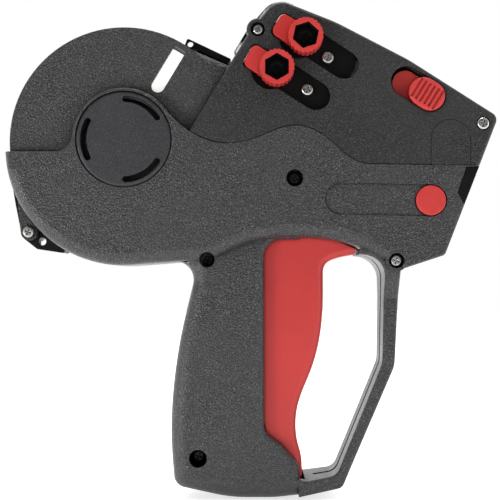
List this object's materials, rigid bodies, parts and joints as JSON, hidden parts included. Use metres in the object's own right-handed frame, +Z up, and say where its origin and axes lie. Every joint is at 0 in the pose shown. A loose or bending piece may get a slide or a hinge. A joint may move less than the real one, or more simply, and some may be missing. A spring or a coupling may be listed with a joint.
{
  "type": "price labeling gun",
  "caption": "hand-held price labeling gun with a finger trigger, side selector knobs, label roll chamber and nose roller",
  "frame": {"origin": "The label roll's axis on the middle plane between the two moulded halves.", "axes": "+X forward to the nose where the label comes out, +Y to the tool's left along the label roll's axis, +Z up, away from the handle"},
  "size_m": [0.2126, 0.0525, 0.2173],
  "materials": {
    "black_plastic": "matte",
    "grip_plastic": "matte",
    "insert_plastic": "matte",
    "red_plastic": "satin",
    "clear_plastic": "gloss",
    "bright_screw": "bright",
    "dark_screw": "satin",
    "steel": "satin",
    "band_rubber": "matte",
    "ink_foam": "matte",
    "roller_rubber": "matte",
    "label_paper": "matte",
    "gear_plastic": "satin"
  },
  "bodies": {
    "body": {"right_body_shell": "black_plastic", "left_body_shell": "black_plastic", "right_head_cover": "black_plastic", "left_head_cover": "black_plastic", "viewing_window": "clear_plastic", "right_arch_cover": "black_plastic", "left_arch_cover": "black_plastic", "right_hub_plate": "black_plastic", "left_hub_plate": "black_plastic", "right_chassis_plate": "steel", "left_chassis_plate": "steel", "roll_bridge": "insert_plastic", "hinge_bracket": "insert_plastic", "nose_insert": "insert_plastic", "trigger_pin": "steel", "trigger_spring": "steel", "lever_pin": "steel", "platen": "insert_plastic", "ink_cartridge": "insert_plastic", "right_button_spring": "steel", "left_button_spring": "steel", "ink_axle": "steel", "applicator_axle": "steel", "feed_axle": "steel", "sunk_screws": "dark_screw", "cover_screws": "bright_screw", "hinge_screw": "bright_screw"},
    "label_door": {"label_door": "black_plastic"},
    "label_roll": {"label_roll": "label_paper"},
    "trigger": {"trigger": "red_plastic", "drive_pin": "steel"},
    "drive_lever": {"drive_lever": "gear_plastic"},
    "print_head": {"print_head_frame": "steel", "head_side_plate": "insert_plastic", "side_plate_screws": "bright_screw", "lower_type_bands": "band_rubber", "upper_type_bands": "band_rubber", "lower_band_wheels": "gear_plastic", "upper_band_wheels": "gear_plastic"},
    "lower_selector": {"lower_pointer": "red_plastic"},
    "upper_selector": {"upper_pointer": "red_plastic"},
    "lower_dial": {"lower_knob": "red_plastic", "lower_selector_shaft": "steel"},
    "upper_dial": {"upper_knob": "red_plastic", "upper_selector_shaft": "steel"},
    "latch": {"latch_slider": "red_plastic"},
    "right_button": {"right_push_button": "red_plastic"},
    "left_button": {"left_push_button": "red_plastic"},
    "ink_roller": {"ink_roller": "ink_foam"},
    "applicator_roller": {"applicator_roller": "roller_rubber"},
    "feed_wheel": {"feed_wheel": "gear_plastic"}
  },
  "joints": [
    {"name": "trigger_pull", "type": "hinge", "parent": "body", "child": "trigger", "pos_m": [0.0722, 0, -0.1442], "axis": [0, -1, 0], "range_deg": [0, 9.5], "stiffness_Nm_per_rad": 1.2},
    {"name": "lever_swing", "type": "hinge", "parent": "body", "child": "drive_lever", "pos_m": [0.074, 0, -0.0161], "axis": [0, 1, 0], "range_deg": [0, 17.15]},
    {"name": "head_stroke", "type": "slide", "parent": "body", "child": "print_head", "axis": [0.8499, 0, -0.527], "range_m": [0, 0.00742]},
    {"name": "lower_select", "type": "slide", "parent": "print_head", "child": "lower_selector", "axis": [0, -1, 0], "range_m": [0, 0.0147]},
    {"name": "upper_select", "type": "slide", "parent": "print_head", "child": "upper_selector", "axis": [0, -1, 0], "range_m": [0, 0.0147]},
    {"name": "lower_dial_turn", "type": "hinge", "parent": "lower_selector", "child": "lower_dial", "pos_m": [0.0661, -0.0205, 0.0302], "axis": [0, -1, 0], "continuous": true},
    {"name": "upper_dial_turn", "type": "hinge", "parent": "upper_selector", "child": "upper_dial", "pos_m": [0.0783, -0.0205, 0.0436], "axis": [0, -1, 0], "continuous": true},
    {"name": "latch_slide", "type": "slide", "parent": "body", "child": "latch", "axis": [-0.8508, 0, 0.5255], "range_m": [0, 0.008]},
    {"name": "right_button_press", "type": "slide", "parent": "body", "child": "right_button", "axis": [0, 1, 0], "range_m": [0, 0.0025], "stiffness_N_per_m": 400},
    {"name": "left_button_press", "type": "slide", "parent": "body", "child": "left_button", "axis": [0, -1, 0], "range_m": [0, 0.0025], "stiffness_N_per_m": 400},
    {"name": "door_open", "type": "hinge", "parent": "body", "child": "label_door", "pos_m": [-0.0423, 0, -0.039], "axis": [0, -1, 0], "range_deg": [0, 95]},
    {"name": "label_roll_spin", "type": "hinge", "parent": "body", "child": "label_roll", "pos_m": [0, 0, 0], "axis": [0, 1, 0], "continuous": true},
    {"name": "ink_roller_spin", "type": "hinge", "parent": "body", "child": "ink_roller", "pos_m": [0.1411, 0, 0.0006], "axis": [0, 1, 0], "continuous": true},
    {"name": "applicator_spin", "type": "hinge", "parent": "body", "child": "applicator_roller", "pos_m": [0.129, 0, -0.0433], "axis": [0, 1, 0], "continuous": true},
    {"name": "feed_wheel_spin", "type": "hinge", "parent": "body", "child": "feed_wheel", "pos_m": [0.103, 0, -0.025], "axis": [0, 1, 0], "continuous": true}
  ],
  "couplings": [
    {"joint": "lever_swing", "follows": "trigger_pull", "ratio": 1.802},
    {"joint": "head_stroke", "follows": "trigger_pull", "m_per_rad": 0.04463}
  ]
}
